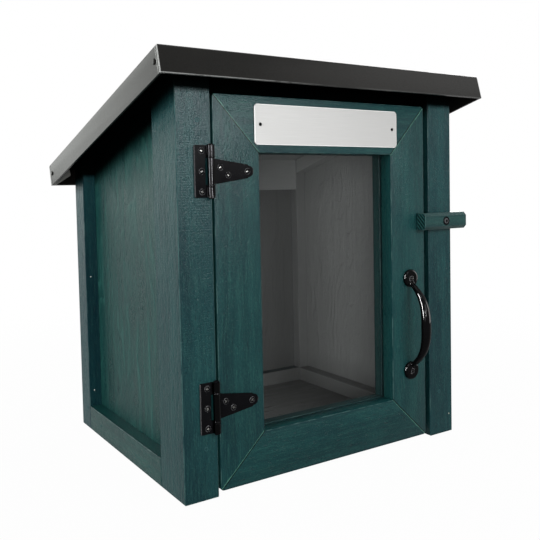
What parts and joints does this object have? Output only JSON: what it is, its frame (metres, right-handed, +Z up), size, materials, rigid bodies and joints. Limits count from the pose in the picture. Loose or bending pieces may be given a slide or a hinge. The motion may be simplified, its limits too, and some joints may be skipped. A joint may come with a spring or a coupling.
{
  "type": "street book exchange box",
  "caption": "Stained timber cabinet with a single-pitch metal roof and a glazed, hinged front door held by a turn button, for passers-by to swap books.",
  "frame": {"origin": "on the ground plane, in the middle of the rectangle round the outer faces of the four posts", "axes": "+X to the right of someone facing the door, +Y from the door to the back, +Z up"},
  "size_m": [0.4588, 0.3925, 0.4722],
  "materials": {
    "stained_wood": "dark blue-green stain, satin, grain showing",
    "roof_metal": "dark bronze-black coated sheet, satin",
    "black_hardware": "black coated steel, semi-gloss",
    "black_enamel": "black enamel, gloss",
    "brushed_plate": "fine brushed, bare",
    "clear_pane": "clear sheet"
  },
  "bodies": {
    "cabinet": {"front_post_left": "stained_wood", "front_post_right": "stained_wood", "rear_post_left": "stained_wood", "rear_post_right": "stained_wood", "side_rail_left": "stained_wood", "side_rail_right": "stained_wood", "side_panel_left": "stained_wood", "side_panel_right": "stained_wood", "roof_cleat_left": "stained_wood", "roof_cleat_right": "stained_wood", "door_stop_left": "stained_wood", "door_stop_right": "stained_wood", "front_header": "stained_wood", "front_sill": "stained_wood", "back_header": "stained_wood", "back_rail": "stained_wood", "back_panel": "stained_wood", "floor_board": "stained_wood", "roof_pan": "roof_metal", "roof_deck": "stained_wood", "roof_rivet_left_front": "roof_metal", "roof_rivet_left_rear": "roof_metal", "roof_rivet_right_front": "roof_metal", "roof_rivet_right_rear": "roof_metal", "hinge_leaf_lower": "black_hardware", "hinge_leaf_upper": "black_hardware", "hinge_pin_lower": "black_hardware", "hinge_pin_upper": "black_hardware", "hinge_leaf_screw_lower_1": "black_hardware", "hinge_leaf_screw_lower_2": "black_hardware", "hinge_leaf_screw_lower_3": "black_hardware", "hinge_leaf_screw_upper_1": "black_hardware", "hinge_leaf_screw_upper_2": "black_hardware", "hinge_leaf_screw_upper_3": "black_hardware", "turn_button_screw": "black_hardware"},
    "door": {"door_stile_left": "stained_wood", "door_stile_right": "stained_wood", "door_rail_bottom": "stained_wood", "door_rail_top": "stained_wood", "window_pane": "clear_pane", "glazing_bead_bottom": "stained_wood", "glazing_bead_right": "stained_wood", "glazing_bead_top": "stained_wood", "glazing_bead_left": "stained_wood", "hinge_strap_lower": "black_hardware", "hinge_strap_upper": "black_hardware", "hinge_strap_screw_lower_1": "black_hardware", "hinge_strap_screw_lower_2": "black_hardware", "hinge_strap_screw_lower_3": "black_hardware", "hinge_strap_screw_upper_1": "black_hardware", "hinge_strap_screw_upper_2": "black_hardware", "hinge_strap_screw_upper_3": "black_hardware", "pull_handle": "black_enamel", "pull_handle_screw_1": "black_hardware", "pull_handle_screw_2": "black_hardware", "name_plate": "brushed_plate", "name_plate_screw_1": "black_hardware", "name_plate_screw_2": "black_hardware"},
    "button": {"turn_button": "stained_wood"}
  },
  "joints": [
    {"name": "door_swing", "type": "hinge", "parent": "cabinet", "child": "door", "pos_m": [-0.1617, -0.1698, 0.225], "axis": [0, 0, -1], "range_deg": [0, 180]},
    {"name": "button_turn", "type": "hinge", "parent": "cabinet", "child": "button", "pos_m": [0.1745, -0.1655, 0.2846], "axis": [0, -1, 0], "continuous": true}
  ]
}
